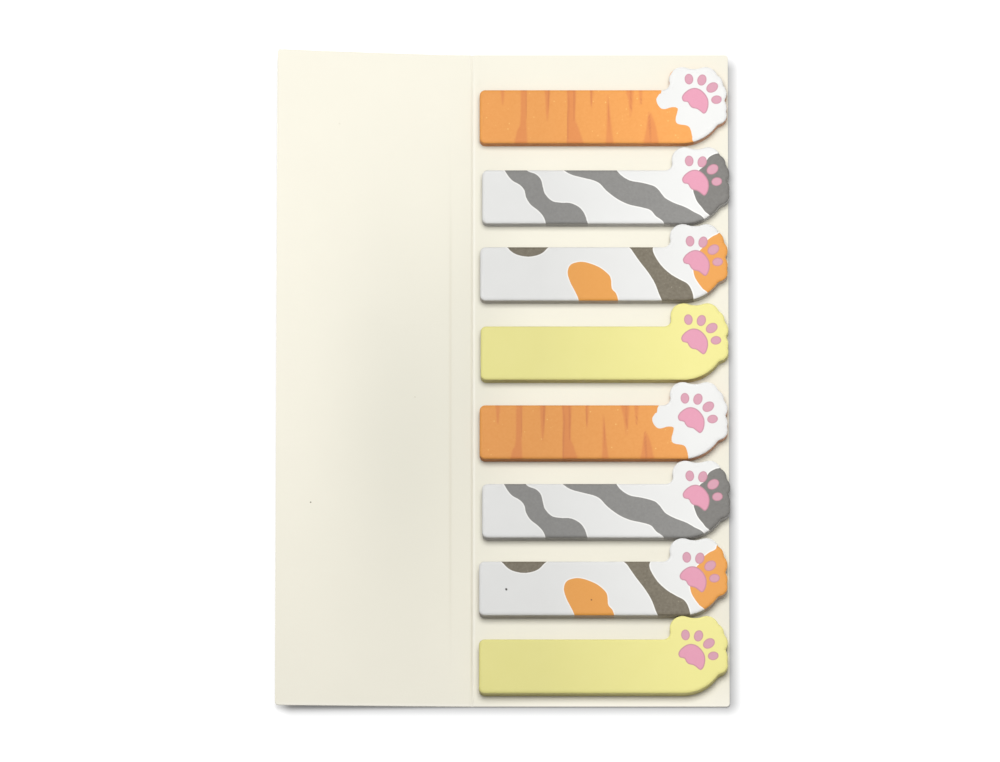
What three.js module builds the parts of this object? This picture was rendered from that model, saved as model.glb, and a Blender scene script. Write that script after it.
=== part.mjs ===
// Sticky index tabs: a small folded card, laid open, that carries eight pads of paper tabs.
// Each pad is a glued stack of die-cut sheets: a strip to write on that ends in a cat's paw.
// Millimetres. +Z up, +Y along the card's long side, +X from the cover towards the paws.
// The origin is under the middle of the whole part, on the surface that it lies on.
import * as THREE from 'three';

// Tab sheets
const PAD_COUNT = 8;
const STRIP_WIDTH = 12.0;
const PAD_LENGTH = 52.7;
const TOE_RISE = 5.2;
const STRIP_CORNER = 1.2;
const JUNCTION_FILLET = 1.5;
const SHEETS_PER_PAD = 21;
const SHEET_THICKNESS = 0.112;

// The knife rolls the cut edge of the upper sheets over
const ROLL_INWARD = 0.7;
const ROLL_DROP = 0.35;

// Clearances of the pads on the card. PAW_GAP is the mean gap from a paw to the next pad.
const PAW_GAP = 0.33;
const LOW_END_MARGIN = 2.25;
const HIGH_END_MARGIN = 3.35;
const SPINE_MARGIN = 1.75;
const EDGE_MARGIN = 0.13;

// Card
const CARD_THICKNESS = 0.4;
const CARD_CORNER = 0.7;
const CREASE_WIDTH = 0.6;
const CREASE_DEPTH = 0.14;
// What the spine leaves over the stack when the card is shut
const SPINE_PLAY = 1.4;
// How far short of the paws the shut cover stops
const COVER_SHORTFALL = 3.6;

// The opened cover springs back: the height of its free edge at the card's low and high ends
const LOW_END_LIFT = 1.4;
const HIGH_END_LIFT = 4.2;
const SPINE_LIFT = 0.12;
const COVER_BOW = 1.15;

// The pads are laid by hand, from the card's low end upwards: their shift along the strip,
// and the gap below each one as a share of the mean gap
const LAID = [
  { shift: -0.23, gap: 0.0 },
  { shift: -0.23, gap: 0.27 },
  { shift: 0.41, gap: 0.21 },
  { shift: -0.12, gap: 1.0 },
  { shift: 0.09, gap: 1.3 },
  { shift: -0.02, gap: 1.6 },
  { shift: 0.41, gap: 0.17 },
  { shift: -0.12, gap: 2.45 },
];

// The printed papers, from the card's low end upwards
const PAPERS = [
  { name: 'yellow', colour: 0xeee79c },
  { name: 'calico', colour: 0xe6d8c4 },
  { name: 'grey', colour: 0xd6d5d1 },
  { name: 'orange', colour: 0xf2aa66 },
];
const PAPER_ROUGHNESS = 0.6;
const CARD_COLOUR = 0xf6f2df;
const CARD_ROUGHNESS = 0.75;

// Sizes that follow from the ones above
const PAD_THICKNESS = SHEETS_PER_PAD * SHEET_THICKNESS;
const PAW_HEIGHT = STRIP_WIDTH + TOE_RISE;
const BACK_WIDTH = SPINE_MARGIN + PAD_LENGTH + EDGE_MARGIN;
const SPINE_WIDTH = PAD_THICKNESS + 2 * CARD_THICKNESS + SPINE_PLAY;

// The paw is a chain of round lobes, told anticlockwise from the palm, as shares of the paw's height:
// back is measured from the paw's right end, up from the straight edge, and hollow is the radius
// of the hollow that joins a lobe to the next one. The last hollow is JUNCTION_FILLET.
const PAW_LOBES = [
  { name: 'palm', back: 0.559, up: 0.523, radius: 0.523, hollow: 0.093 },
  { name: 'heel', back: 0.116, up: 0.366, radius: 0.116, hollow: 0.087 },
  { name: 'outer toe', back: 0.151, up: 0.465, radius: 0.151, hollow: 0.035 },
  { name: 'ring toe', back: 0.146, up: 0.651, radius: 0.146, hollow: 0.087 },
  { name: 'ring toe tip', back: 0.175, up: 0.779, radius: 0.128, hollow: 0.047 },
  { name: 'middle toe', back: 0.262, up: 0.849, radius: 0.151, hollow: 0.262 },
  { name: 'inner toe', back: 0.555, up: 0.838, radius: 0.162 },
];

// How far a facet may stray from its arc
const CHORD_ERROR = 0.03;
const ROLL_STEPS = 3;

function solidFrom(positions, indices) {
  const geometry = new THREE.BufferGeometry();
  geometry.setAttribute('position', new THREE.Float32BufferAttribute(positions, 3));
  geometry.setIndex(indices);
  geometry.computeVertexNormals();
  return geometry;
}

function angleTo(from, to) {
  return Math.atan2(to.y - from.y, to.x - from.x);
}

// Where a circle rests in the hollow between two lobes, touching both from outside
function hollowCentre(lobe, next, radius) {
  const toLobe = lobe.radius + radius;
  const toNext = next.radius + radius;
  const span = next.centre.clone().sub(lobe.centre);
  const distance = span.length();
  const along = (distance ** 2 + toLobe ** 2 - toNext ** 2) / (2 * distance);
  const aside = Math.sqrt(Math.max(toLobe ** 2 - along ** 2, 0));
  const outward = new THREE.Vector2(span.y, -span.x).divideScalar(distance);
  return lobe.centre.clone().addScaledVector(span, along / distance).addScaledVector(outward, aside);
}

// Where a circle rests between the last toe and the strip's upper edge
function junctionCentre(toe) {
  const reach = toe.radius + JUNCTION_FILLET;
  const rise = STRIP_WIDTH + JUNCTION_FILLET;
  const back = Math.sqrt(Math.max(reach ** 2 - (toe.centre.y - rise) ** 2, 0));
  return new THREE.Vector2(toe.centre.x - back, rise);
}

function stripCorner(height, start) {
  return {
    centre: new THREE.Vector2(STRIP_CORNER, height),
    radius: STRIP_CORNER,
    turn: 1,
    start,
    end: start + 0.5 * Math.PI,
    joined: false,
  };
}

// The outline, anticlockwise, as arcs. Turn is 1 for a lobe and -1 for a hollow,
// and a joined arc starts where the arc before it ends.
function tabArcs() {
  const lobes = PAW_LOBES.map((lobe) => ({
    centre: new THREE.Vector2(PAD_LENGTH - lobe.back * PAW_HEIGHT, lobe.up * PAW_HEIGHT),
    radius: lobe.radius * PAW_HEIGHT,
    hollow: lobe.hollow * PAW_HEIGHT,
  }));
  const arcs = [stripCorner(STRIP_CORNER, Math.PI)];
  let start = -0.5 * Math.PI;
  let joined = false;
  for (const [index, lobe] of lobes.entries()) {
    const next = lobes[index + 1];
    const radius = next ? lobe.hollow : JUNCTION_FILLET;
    const centre = next ? hollowCentre(lobe, next, radius) : junctionCentre(lobe);
    const target = next ? next.centre : new THREE.Vector2(centre.x, STRIP_WIDTH);
    const meets = angleTo(lobe.centre, centre);
    arcs.push({ centre: lobe.centre, radius: lobe.radius, turn: 1, start, end: meets, joined });
    const from = angleTo(centre, lobe.centre);
    arcs.push({ centre, radius, turn: -1, start: from, end: angleTo(centre, target), joined: true });
    start = angleTo(target, centre);
    joined = true;
  }
  arcs.push(stripCorner(STRIP_WIDTH - STRIP_CORNER, 0.5 * Math.PI));
  return arcs;
}

// The signed angle of an arc, the short way round in its own sense of turning
function sweepOf(arc) {
  const full = 2 * Math.PI;
  const forward = (((arc.end - arc.start) * arc.turn) % full + full) % full;
  return forward * arc.turn;
}

// The outline as points, pulled in by the inset. Every inset gives equally many points.
function tabOutline(arcs, inset) {
  const points = [];
  for (const arc of arcs) {
    const sweep = sweepOf(arc);
    const step = 2 * Math.acos(1 - CHORD_ERROR / arc.radius);
    const steps = Math.max(2, Math.ceil(Math.abs(sweep) / step));
    const radius = arc.radius - arc.turn * inset;
    for (let index = arc.joined ? 1 : 0; index <= steps; index += 1) {
      const angle = arc.start + (sweep * index) / steps;
      const x = arc.centre.x + radius * Math.cos(angle);
      const y = arc.centre.y + radius * Math.sin(angle);
      points.push(new THREE.Vector2(x, y));
    }
  }
  return points;
}

// Rings of equally many points, one above the other, with a flat cap at each end
function loftedSolid(rings) {
  const count = rings[0].points.length;
  const positions = rings.flatMap(({ points, height }) => points.flatMap((p) => [p.x, p.y, height]));
  const indices = [];
  for (let ring = 1; ring < rings.length; ring += 1) {
    for (let side = 0; side < count; side += 1) {
      const a = (ring - 1) * count + side;
      const b = (ring - 1) * count + ((side + 1) % count);
      indices.push(a, b, b + count, a, b + count, a + count);
    }
  }
  const top = (rings.length - 1) * count;
  for (const [a, b, c] of THREE.ShapeUtils.triangulateShape(rings[rings.length - 1].points, [])) {
    indices.push(top + a, top + b, top + c);
  }
  for (const [a, b, c] of THREE.ShapeUtils.triangulateShape(rings[0].points, [])) {
    indices.push(a, c, b);
  }
  return solidFrom(positions, indices);
}

// A pad has straight cut sides, then the quarter-round roll of its upper sheets
function tabPadGeometry() {
  const arcs = tabArcs();
  const inward = Math.min(ROLL_INWARD, 0.8 * STRIP_CORNER);
  const drop = Math.min(ROLL_DROP, 0.8 * PAD_THICKNESS);
  const rings = [{ points: tabOutline(arcs, 0), height: 0 }];
  for (let step = 0; step <= ROLL_STEPS; step += 1) {
    const angle = (0.5 * Math.PI * step) / ROLL_STEPS;
    const inset = inward * (1 - Math.cos(angle));
    const height = PAD_THICKNESS - drop * (1 - Math.sin(angle));
    rings.push({ points: tabOutline(arcs, inset), height });
  }
  return loftedSolid(rings);
}

// Distances from a side of the card at which its rounded corner is drawn
const CORNER_STEPS = 4;

function cornerDistances() {
  const steps = Array.from({ length: CORNER_STEPS + 1 }, (_, index) => index / CORNER_STEPS);
  return steps.map((share) => CARD_CORNER * (1 - Math.cos(0.5 * Math.PI * share)));
}

// How far the rounded corner pulls the card's end in, at a distance from its side
function cornerInset(distance) {
  const inside = Math.max(CARD_CORNER - distance, 0);
  return CARD_CORNER - Math.sqrt(CARD_CORNER ** 2 - inside ** 2);
}

// The card as a sheet: along runs from the cover's free edge to the back panel's, up the card's length
function cardSheet(cardLength, coverWidth) {
  const coverCrease = coverWidth;
  const backCrease = coverWidth + SPINE_WIDTH;
  const width = backCrease + BACK_WIDTH;
  const run = (length, rise) => Math.sqrt(length ** 2 - rise ** 2);
  const place = (along, up) => {
    if (along >= backCrease) return { x: along - backCrease, z: 0 };
    const spineRun = run(SPINE_WIDTH, SPINE_LIFT);
    if (along >= coverCrease) {
      const share = (backCrease - along) / SPINE_WIDTH;
      return { x: -share * spineRun, z: share * SPINE_LIFT };
    }
    const share = (coverCrease - along) / coverWidth;
    const rise = THREE.MathUtils.lerp(LOW_END_LIFT, HIGH_END_LIFT, up / cardLength) - SPINE_LIFT;
    return { x: -spineRun - share * run(coverWidth, rise), z: SPINE_LIFT + rise * share ** COVER_BOW };
  };
  const grooveAt = (along) => {
    const distance = Math.min(Math.abs(along - coverCrease), Math.abs(along - backCrease));
    return CREASE_DEPTH * Math.max(1 - distance / (0.5 * CREASE_WIDTH), 0);
  };
  return { coverCrease, backCrease, width, place, grooveAt };
}

const COVER_SHARES = [0.18, 0.36, 0.54, 0.7, 0.85];
const CARD_ROWS = 6;

// The folded card: scored grooves on its inner face, and a cover that rises towards its free edge
function foldedCardGeometry(cardLength, coverWidth) {
  const sheet = cardSheet(cardLength, coverWidth);
  const corner = cornerDistances();
  const score = [-0.5, 0, 0.5].map((share) => share * CREASE_WIDTH);
  const columns = [
    ...corner,
    ...COVER_SHARES.map((share) => share * coverWidth),
    ...score.map((offset) => sheet.coverCrease + offset),
    ...score.map((offset) => sheet.backCrease + offset),
    ...corner.map((distance) => sheet.width - distance).reverse(),
  ];
  const faces = { upper: [], lower: [] };
  for (const along of columns) {
    const inset = cornerInset(Math.min(along, sheet.width - along));
    for (let row = 0; row <= CARD_ROWS; row += 1) {
      const up = THREE.MathUtils.lerp(inset, cardLength - inset, row / CARD_ROWS);
      const { x, z } = sheet.place(along, up);
      faces.upper.push([x, up, z + CARD_THICKNESS - sheet.grooveAt(along)]);
      faces.lower.push([x, up, z]);
    }
  }
  const across = CARD_ROWS + 1;
  const under = faces.upper.length;
  const indices = [];
  const quad = (a, b, c, d) => indices.push(a, b, c, a, c, d);
  for (let column = 0; column < columns.length - 1; column += 1) {
    for (let row = 0; row < CARD_ROWS; row += 1) {
      const a = column * across + row;
      const b = a + across;
      quad(a, b, b + 1, a + 1);
      quad(under + a, under + a + 1, under + b + 1, under + b);
    }
    const low = column * across;
    const high = low + CARD_ROWS;
    quad(under + low, under + low + across, low + across, low);
    quad(high, high + across, under + high + across, under + high);
  }
  const far = (columns.length - 1) * across;
  for (let row = 0; row < CARD_ROWS; row += 1) {
    quad(row, row + 1, under + row + 1, under + row);
    quad(under + far + row, under + far + row + 1, far + row + 1, far + row);
  }
  return solidFrom([...faces.upper, ...faces.lower].flat(), indices);
}

// Where the strip's upper edge ends and the paw begins
function stripLength() {
  const toe = PAW_LOBES[PAW_LOBES.length - 1];
  const centre = new THREE.Vector2(PAD_LENGTH - toe.back * PAW_HEIGHT, toe.up * PAW_HEIGHT);
  return junctionCentre({ centre, radius: toe.radius * PAW_HEIGHT }).x;
}

function padName(index) {
  const paper = PAPERS[index % PAPERS.length];
  return `tab_pad_${PAD_COUNT - index}_${paper.name}`;
}

function buildTabs() {
  const part = new THREE.Group();
  const padGeometry = tabPadGeometry();
  let low = LOW_END_MARGIN;
  for (let index = 0; index < PAD_COUNT; index += 1) {
    const laid = LAID[index % LAID.length];
    if (index > 0) low += PAW_HEIGHT + laid.gap * PAW_GAP;
    const { colour } = PAPERS[index % PAPERS.length];
    const material = new THREE.MeshStandardMaterial({ color: colour, roughness: PAPER_ROUGHNESS, metalness: 0 });
    const pad = new THREE.Mesh(padGeometry, material);
    pad.name = padName(index);
    pad.position.set(SPINE_MARGIN + laid.shift, low, CARD_THICKNESS);
    part.add(pad);
  }
  const cardLength = low + PAW_HEIGHT + HIGH_END_MARGIN;
  const coverWidth = SPINE_MARGIN + stripLength() - COVER_SHORTFALL;
  const material = new THREE.MeshStandardMaterial({ color: CARD_COLOUR, roughness: CARD_ROUGHNESS, metalness: 0 });
  const card = new THREE.Mesh(foldedCardGeometry(cardLength, coverWidth), material);
  card.name = 'folded_card';
  part.add(card);
  const middle = new THREE.Box3().setFromObject(part).getCenter(new THREE.Vector3());
  part.position.set(-middle.x, -middle.y, 0);
  return part;
}

const stickyIndexTabs = new THREE.Group();
stickyIndexTabs.add(buildTabs());

export default stickyIndexTabs;
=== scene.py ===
# Sticky index tabs on a folded card, laid open and photographed from above.
import math

import bpy
import numpy as np
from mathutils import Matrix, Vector


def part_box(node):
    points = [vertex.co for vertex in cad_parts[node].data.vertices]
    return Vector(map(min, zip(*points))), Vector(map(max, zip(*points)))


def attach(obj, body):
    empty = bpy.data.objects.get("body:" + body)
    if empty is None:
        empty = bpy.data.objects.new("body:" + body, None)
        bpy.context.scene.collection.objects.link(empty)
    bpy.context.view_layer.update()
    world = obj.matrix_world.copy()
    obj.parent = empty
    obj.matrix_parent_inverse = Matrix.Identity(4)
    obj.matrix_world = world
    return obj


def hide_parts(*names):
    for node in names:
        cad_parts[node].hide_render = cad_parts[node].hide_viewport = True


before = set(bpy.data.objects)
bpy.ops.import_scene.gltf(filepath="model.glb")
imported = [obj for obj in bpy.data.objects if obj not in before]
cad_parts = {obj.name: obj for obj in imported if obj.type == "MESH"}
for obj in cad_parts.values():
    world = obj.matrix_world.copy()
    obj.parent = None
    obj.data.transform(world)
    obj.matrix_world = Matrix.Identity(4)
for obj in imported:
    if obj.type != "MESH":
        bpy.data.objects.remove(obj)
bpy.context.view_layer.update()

# Lengths are in millimetres until a mesh, a camera or a node gets them. Lights and the ground are in metres
MM = 0.001


def box_in_mm(node):
    """The low and high corner of a node's box, in millimetres."""
    return [np.array(corner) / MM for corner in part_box(node)]


# The card
CARD_LOW, CARD_HIGH = box_in_mm("folded_card")
CARD_LENGTH = CARD_HIGH[1] - CARD_LOW[1]
CARD_THICKNESS = 0.4
CARD_CORNER = 0.7
BACK_WIDTH = 54.58
SPINE_WIDTH = 4.552
LOW_END_LIFT = 1.4
HIGH_END_LIFT = 4.2
SPINE_LIFT = 0.12
COVER_BOW = 1.15
BACK_CREASE_X = CARD_HIGH[0] - BACK_WIDTH
SPINE_RUN = math.sqrt(SPINE_WIDTH ** 2 - SPINE_LIFT ** 2)
COVER_WIDTH = math.hypot(BACK_CREASE_X - CARD_LOW[0] - SPINE_RUN, LOW_END_LIFT - SPINE_LIFT)

# Distances along the flat card, from the cover's free edge
COVER_CREASE = COVER_WIDTH
BACK_CREASE = COVER_WIDTH + SPINE_WIDTH
CARD_WIDTH = BACK_CREASE + BACK_WIDTH

# The tab sheets
STRIP_WIDTH = 12.0
PAD_LENGTH = 52.7
TOE_RISE = 5.2
STRIP_CORNER = 1.2
JUNCTION_FILLET = 1.5
SHEETS_PER_PAD = 21
SHEET_THICKNESS = 0.112
ROLL_INWARD = 0.7
ROLL_DROP = 0.35
PAW_HEIGHT = STRIP_WIDTH + TOE_RISE
PAD_THICKNESS = SHEETS_PER_PAD * SHEET_THICKNESS

# Lobes of the paw, as shares of its height: back from its right end, up, radius, hollow to the next
PAW_LOBES = [
    ("palm", 0.559, 0.523, 0.523, 0.093),
    ("heel", 0.116, 0.366, 0.116, 0.087),
    ("outer toe", 0.151, 0.465, 0.151, 0.035),
    ("ring toe", 0.146, 0.651, 0.146, 0.087),
    ("ring toe tip", 0.175, 0.779, 0.128, 0.047),
    ("middle toe", 0.262, 0.849, 0.151, 0.262),
    ("inner toe", 0.555, 0.838, 0.162, None),
]


def cover_lift(share_up):
    """How high the cover's free edge stands over the table, at a share of the way up the card."""
    return LOW_END_LIFT + (HIGH_END_LIFT - LOW_END_LIFT) * share_up


# The photograph's frame, in its own pixels

PHOTO_WIDTH = 1000
CENTRE_COLUMN = 500
CENTRE_ROW = 381
CARD_RIGHT_COLUMN = 728.7
CARD_MIDDLE_ROW = 379.5
MM_PER_PIXEL = 0.2125
CAMERA_TILT = math.radians(18)


def card_point(column, row):
    """The point of the flat card under a pixel of the photograph."""
    x = CARD_HIGH[0] - (CARD_RIGHT_COLUMN - column) * MM_PER_PIXEL
    middle = (CARD_LOW[1] + CARD_HIGH[1]) / 2
    return x, middle + (CARD_MIDDLE_ROW - row) * MM_PER_PIXEL / math.cos(CAMERA_TILT)


def raised_point(column, row, rise):
    """The point under a pixel at a rise above the card: the flat point, moved down the view by its rise."""
    x, y = card_point(column, row)
    return x, y - rise * math.tan(CAMERA_TILT), rise + CARD_THICKNESS


def on_cover(column, row):
    """The point of the lifted cover under a pixel."""
    x, y = card_point(column, row)
    cover_crease_x = BACK_CREASE_X - SPINE_WIDTH
    share = (cover_crease_x - x) / (cover_crease_x - CARD_LOW[0])
    return raised_point(column, row, cover_lift((y - CARD_LOW[1]) / CARD_LENGTH) * share ** COVER_BOW)


# Camera

# Near enough that the other views, which stand further off, still reach the ground behind the card
CAMERA_DISTANCE = 5300
CAMERA_REACH = 40000
SENSOR_WIDTH = 36


def make_camera():
    """A long lens tilted from straight down, aimed at the flat card's point under the frame's centre."""
    aim = Vector((*card_point(CENTRE_COLUMN, CENTRE_ROW), CARD_THICKNESS)) * MM
    back = Vector((0, -math.sin(CAMERA_TILT), math.cos(CAMERA_TILT)))
    data = bpy.data.cameras.new("camera")
    data.sensor_width = SENSOR_WIDTH
    data.lens = SENSOR_WIDTH * CAMERA_DISTANCE / (PHOTO_WIDTH * MM_PER_PIXEL)
    data.clip_end = CAMERA_REACH * MM
    camera = bpy.data.objects.new("camera", data)
    camera.location = aim + back * CAMERA_DISTANCE * MM
    camera.rotation_euler = (CAMERA_TILT, 0, 0)
    bpy.context.collection.objects.link(camera)
    bpy.context.scene.camera = camera


# Light and ground

# Each area light: name, place, aim, side, and power in watts
AREA_LIGHTS = [
    ("soft_box", (-0.01, 0.1, 0.4), (-0.005, 0.05, 0), 0.3, 2.28),
    ("reflector", (0.1, -0.12, 0.4), (0.05, -0.06, 0), 0.3, 0.2),
]
SURROUNDINGS = 0.25
GROUND_HALF_WIDTH = 4.0
GROUND_DROP = 0.00005


def add_area_light(name, place, aim, side, power):
    """A square soft white light, turned to face its aim."""
    data = bpy.data.lights.new(name, "AREA")
    data.shape = "SQUARE"
    data.size = side
    data.energy = power
    light = bpy.data.objects.new(name, data)
    light.location = place
    light.rotation_euler = (Vector(aim) - Vector(place)).to_track_quat("-Z", "Y").to_euler()
    bpy.context.collection.objects.link(light)


def make_studio():
    """Dim white surroundings, a large soft box high over the card's far end, a weak reflector over its
    near side, and a glowing white ground with a painted shadow round the card."""
    scene = bpy.context.scene
    scene.view_settings.view_transform = "Standard"
    world = bpy.data.worlds.new("surroundings")
    world.use_nodes = True
    background = world.node_tree.nodes["Background"]
    background.inputs["Color"].default_value = (1, 1, 1, 1)
    background.inputs["Strength"].default_value = SURROUNDINGS
    scene.world = world
    for light in AREA_LIGHTS:
        add_area_light(*light)
    half = GROUND_HALF_WIDTH
    corners = [(-half, -half, 0), (half, -half, 0), (half, half, 0), (-half, half, 0)]
    mesh = bpy.data.meshes.new("floor")
    mesh.from_pydata(corners, [], [(0, 1, 2, 3)])
    floor = bpy.data.objects.new("floor", mesh)
    floor.location.z = -GROUND_DROP
    bpy.context.collection.objects.link(floor)
    mesh.materials.append(backlit_acrylic())


# Colours and nodes

# The light is half as strong again as full white needs, so that the table clips to white as it does in
# the photograph. Papers are given by their look there and held back by as much.
LIGHT_LEVEL = 1.5


def linear(hex_colour):
    """An sRGB hex colour as linear red, green, blue and alpha, by the standard transfer curve."""
    parts = [int(hex_colour[i:i + 2], 16) / 255 for i in (1, 3, 5)]
    return [c / 12.92 if c <= 0.04045 else ((c + 0.055) / 1.055) ** 2.4 for c in parts] + [1.0]


def shade(hex_colour, factor):
    """A linear colour with each part but alpha times a factor."""
    return [c * factor for c in linear(hex_colour)[:3]] + [1.0]


def seen(hex_colour):
    """The reflectance of a paper that looks like a colour under the light."""
    return shade(hex_colour, 1 / LIGHT_LEVEL)


def pattern_scale(size):
    """A pattern's scale from the real size of its features."""
    return 1 / (size * MM)


# A Mix node's settings, its two colour inputs and its colour output
COLOUR_MIX = {"data_type": "RGBA"}
BELOW, ABOVE, MIXED = 6, 7, 2
# A Map Range node's settings for a smooth rise from 0 to 1
SOFT_STEP = {"interpolation_type": "SMOOTHSTEP"}


def add_node(tree, kind, inputs=(), settings=(), output=0):
    """One node, with its settings, and each input given as a value or as the socket that feeds it. Gives
    the output that is asked for."""
    node = tree.nodes.new(kind)
    for name, value in dict(settings).items():
        setattr(node, name, value)
    for name, value in dict(inputs).items():
        if isinstance(value, bpy.types.NodeSocket):
            tree.links.new(value, node.inputs[name])
        else:
            node.inputs[name].default_value = value
    return node.outputs[output]


def new_material(name, roughness, specular):
    """A material with one Principled shader, its tree, its shader and the object's coordinates."""
    material = bpy.data.materials.new(name)
    material.use_nodes = True
    tree = material.node_tree
    shader = tree.nodes["Principled BSDF"]
    shader.inputs["Roughness"].default_value = roughness
    shader.inputs["Specular IOR Level"].default_value = specular
    return material, tree, shader, add_node(tree, "ShaderNodeTexCoord", output="Object")


# The ground: its own reflectance and glow, and the painted shadow round the card, with its shift to the
# right and up, half its blur, and the share of the glow that is left there
GROUND_REFLECTANCE = 0.3
GROUND_GLOW = 0.75
PAINTED_SHADOW_SHIFT = (1.5, -1.1)
PAINTED_SHADOW_BLUR = 2.3
PAINTED_SHADOW_GLOW = 0.05


def backlit_acrylic():
    """A backlit sheet of white acrylic: its glow keeps it white where the cover shades it, and a painted
    shadow dims it round the card, most beside the right and low edges, as the photograph's ground is."""
    material, tree, shader, coordinates = new_material("backlit_acrylic", roughness=0.6, specular=0.2)
    amount = 1.0
    # The painted shadow's mask: 1 inside a blurred box round the card, shifted off it
    for number, shift in enumerate(PAINTED_SHADOW_SHIFT):
        axis = add_node(tree, "ShaderNodeSeparateXYZ", {"Vector": coordinates}, output=number)
        start, end = ((corner[number] + shift) * MM for corner in (CARD_LOW, CARD_HIGH))
        blur = PAINTED_SHADOW_BLUR * MM
        for outside, inside in ((start - blur, start + blur), (end + blur, end - blur)):
            side = add_node(tree, "ShaderNodeMapRange",
                            {"Value": axis, "From Min": outside, "From Max": inside}, SOFT_STEP)
            amount = add_node(tree, "ShaderNodeMath", {0: amount, 1: side}, {"operation": "MULTIPLY"})
    # The glow is dimmed inside the mask, as a painted shadow
    glow = add_node(tree, "ShaderNodeMix", {
        "Factor": amount, BELOW: linear("#ffffff"), ABOVE: shade("#ffffff", PAINTED_SHADOW_GLOW)}, COLOUR_MIX, MIXED)
    shader.inputs["Base Color"].default_value = shade("#ffffff", GROUND_REFLECTANCE)
    shader.inputs["Emission Strength"].default_value = GROUND_GLOW
    tree.links.new(glow, shader.inputs["Emission Color"])
    return material


# Paper's fibres: how much longer the felted ones are along the sheet, and how much coarser
FELT_STRETCH = 4
FELT_COARSER = 1 / 0.6


def fibre_bump(tree, shader, coordinates, size, depth, strength):
    """Paper's felted fibres: two noises, one stretched along the sheet, as a bump of the given depth."""
    fine = add_node(tree, "ShaderNodeTexNoise", {
        "Vector": coordinates, "Scale": pattern_scale(size), "Detail": 4.0})
    stretched = add_node(tree, "ShaderNodeMapping", {
        "Vector": coordinates, "Scale": (1 / FELT_STRETCH, 1.0, 1.0)})
    felt = add_node(tree, "ShaderNodeTexNoise", {
        "Vector": stretched, "Scale": pattern_scale(size * FELT_COARSER), "Detail": 2.0})
    height = add_node(tree, "ShaderNodeMath", {0: fine, 1: felt}, {"operation": "ADD"})
    bump = add_node(tree, "ShaderNodeBump", {
        "Strength": strength, "Distance": depth * MM, "Height": height})
    tree.links.new(bump, shader.inputs["Normal"])


# A speck's ragged edge: the size of its wobble, and where it is full and gone, in radii, for a wobble
# that adds up to one radius
SPECK_WOBBLE = 0.3846
SPECK_FULL, SPECK_GONE = 1.2, 1.7


def add_specks(tree, coordinates, colour, specks):
    """Lays ragged specks over a colour: each is full within its radius of its place."""
    wobble = add_node(tree, "ShaderNodeTexNoise", {
        "Vector": coordinates, "Scale": pattern_scale(SPECK_WOBBLE), "Detail": 1.0})
    for place, radius, tint in specks:
        away = add_node(tree, "ShaderNodeVectorMath", {0: coordinates, 1: [c * MM for c in place]},
                        {"operation": "DISTANCE"}, "Value")
        spread = add_node(tree, "ShaderNodeMath", {0: wobble, 1: radius * MM, 2: away},
                          {"operation": "MULTIPLY_ADD"})
        mask = add_node(tree, "ShaderNodeMapRange", {
            "Value": spread, "From Min": radius * SPECK_GONE * MM, "From Max": radius * SPECK_FULL * MM},
            SOFT_STEP)
        colour = add_node(tree, "ShaderNodeMix", {"Factor": mask, BELOW: colour, ABOVE: seen(tint)},
                          COLOUR_MIX, MIXED)
    return colour


# Specks: place, radius and colour
CARD_SPECKS = [
    (on_cover(339, 123), 0.13, "#d2cbb8"),
    (on_cover(415, 397), 0.16, "#c4bca8"),
    (on_cover(311, 502), 0.17, "#7d776a"),
]
CALICO_SPECKS = [
    (raised_point(506.3, 588.7, PAD_THICKNESS), 0.27, "#4e4b48"),
    (raised_point(591, 599, PAD_THICKNESS), 0.2, "#8d5c2e"),
]
# A frayed place in a cut side
YELLOW_SPECKS = [
    (raised_point(583, 382.6, 1.0), 0.55, "#c9beb0"),
    (raised_point(596, 383.4, 0.8), 0.45, "#c9beb0"),
]

# The card's paper: the tones of its mottle, the tint of each stored mark, all of them painted shade and
# painted light, and the size of its patterns
CARD_TONES = ("#f8f4e4", "#fcf8e8")
CARD_TINTS = {
    # Painted shade by the spine
    "painted_shade": seen("#dcdacc"),
    # Painted shade in the creases
    "crease_shade": seen("#dfd9c7"),
    # Painted highlight beside the back crease and along the low edge
    "painted_highlight": seen("#fffcf2"),
    # Painted light on the cut sides, the underside and the low end
    "painted_light": shade("#fffaee", 0.92),
}
CARD_MOTTLE = 11.11
CARD_FIBRE = 0.625


def cream_board():
    """Uncoated cream board: matt, faintly mottled, a few dark fibre specks, with painted shade along its
    creases and a little by the spine, a painted highlight beside the back crease and along the low edge,
    and painted light in its cut sides and by the low end."""
    material, tree, shader, coordinates = new_material("cream_board", roughness=0.8, specular=0.3)
    cloud = add_node(tree, "ShaderNodeTexNoise", {
        "Vector": coordinates, "Scale": pattern_scale(CARD_MOTTLE), "Detail": 5.0, "Roughness": 0.6})
    colour = add_node(tree, "ShaderNodeMix", {
        "Factor": cloud, BELOW: seen(CARD_TONES[0]), ABOVE: seen(CARD_TONES[1])}, COLOUR_MIX, MIXED)
    for attribute, tint in CARD_TINTS.items():
        mark = add_node(tree, "ShaderNodeAttribute", (), {"attribute_name": attribute}, "Fac")
        colour = add_node(tree, "ShaderNodeMix", {"Factor": mark, BELOW: colour, ABOVE: tint},
                          COLOUR_MIX, MIXED)
    colour = add_specks(tree, coordinates, colour, CARD_SPECKS)
    tree.links.new(colour, shader.inputs["Base Color"])
    fibre_bump(tree, shader, coordinates, CARD_FIBRE, depth=0.03, strength=0.35)
    return material


# Printed paper: the sizes of its patterns, and how far the ink's edge wanders
SHEET_CLOUD = 4.545
INK_GRAIN = 0.5
PAPER_FIBRE = 0.3846
EDGE_WANDER_SIZE = 0.4167
EDGE_WANDER = 0.06
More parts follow.
